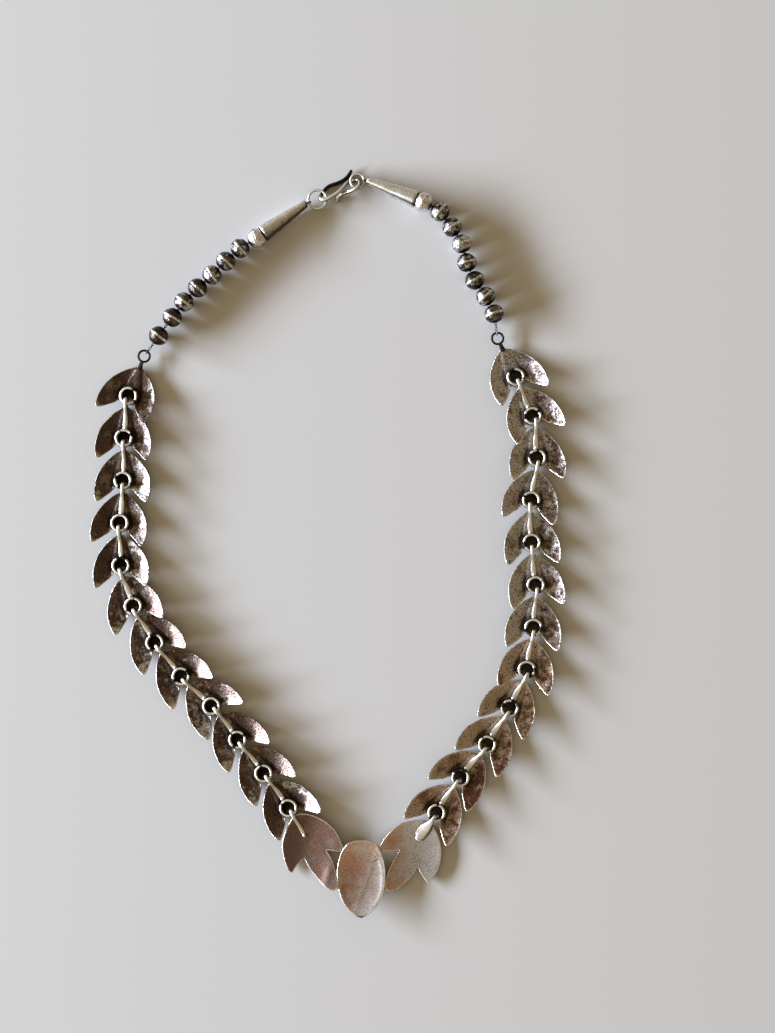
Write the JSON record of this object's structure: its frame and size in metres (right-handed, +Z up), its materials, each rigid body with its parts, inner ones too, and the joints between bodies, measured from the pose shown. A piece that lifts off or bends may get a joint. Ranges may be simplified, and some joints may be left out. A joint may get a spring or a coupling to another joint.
{
  "type": "silver leaf link necklace",
  "caption": "Necklace of hooked silver leaf links with a soldered centre plaque, hollow beads, cone ends and an S-hook clasp, lying on its face.",
  "frame": {"origin": "centre of the necklace's own box, on the surface that it lies on", "axes": "+Z up towards the necklace's back, which faces the viewer; +Y from the centre plaque towards the clasp"},
  "size_m": [0.1571, 0.2474, 0.0068],
  "materials": {
    "leaf_silver": "tarnished silver, warm brown in the hollows and pale on the rims",
    "plaque_silver": "tarnished silver, pinkish brown and satin",
    "bead_silver": "oxidised silver, polished on the high spots",
    "cone_silver": "pale silver, rubbed and satin",
    "chain_silver": "silver wire, dull",
    "clasp_silver": "silver wire, oxidised dark in places"
  },
  "bodies": {
    "root": {"centre_plaque": "plaque_silver", "leaf_left_1": "leaf_silver", "leaf_left_2": "leaf_silver", "leaf_left_3": "leaf_silver", "leaf_left_4": "leaf_silver", "leaf_left_5": "leaf_silver", "leaf_left_6": "leaf_silver", "leaf_left_7": "leaf_silver", "leaf_left_8": "leaf_silver", "leaf_left_9": "leaf_silver", "leaf_left_10": "leaf_silver", "leaf_left_11": "leaf_silver", "leaf_left_12": "leaf_silver", "leaf_right_1": "leaf_silver", "leaf_right_2": "leaf_silver", "leaf_right_3": "leaf_silver", "leaf_right_4": "leaf_silver", "leaf_right_5": "leaf_silver", "leaf_right_6": "leaf_silver", "leaf_right_7": "leaf_silver", "leaf_right_8": "leaf_silver", "leaf_right_9": "leaf_silver", "leaf_right_10": "leaf_silver", "leaf_right_11": "leaf_silver", "leaf_right_12": "leaf_silver", "bead_left_1": "bead_silver", "bead_left_2": "bead_silver", "bead_left_3": "bead_silver", "bead_left_4": "bead_silver", "bead_left_5": "bead_silver", "bead_left_6": "bead_silver", "bead_left_7": "bead_silver", "bead_left_8": "bead_silver", "bead_right_1": "bead_silver", "bead_right_2": "bead_silver", "bead_right_3": "bead_silver", "bead_right_4": "bead_silver", "bead_right_5": "bead_silver", "bead_right_6": "bead_silver", "bead_right_7": "bead_silver", "bead_right_8": "bead_silver", "cone_left": "cone_silver", "cone_right": "cone_silver", "chain_left": "chain_silver", "chain_right": "chain_silver", "clasp_ring_left": "clasp_silver", "clasp_ring_right": "clasp_silver", "clasp_hook": "clasp_silver"}
  },
  "joints": []
}
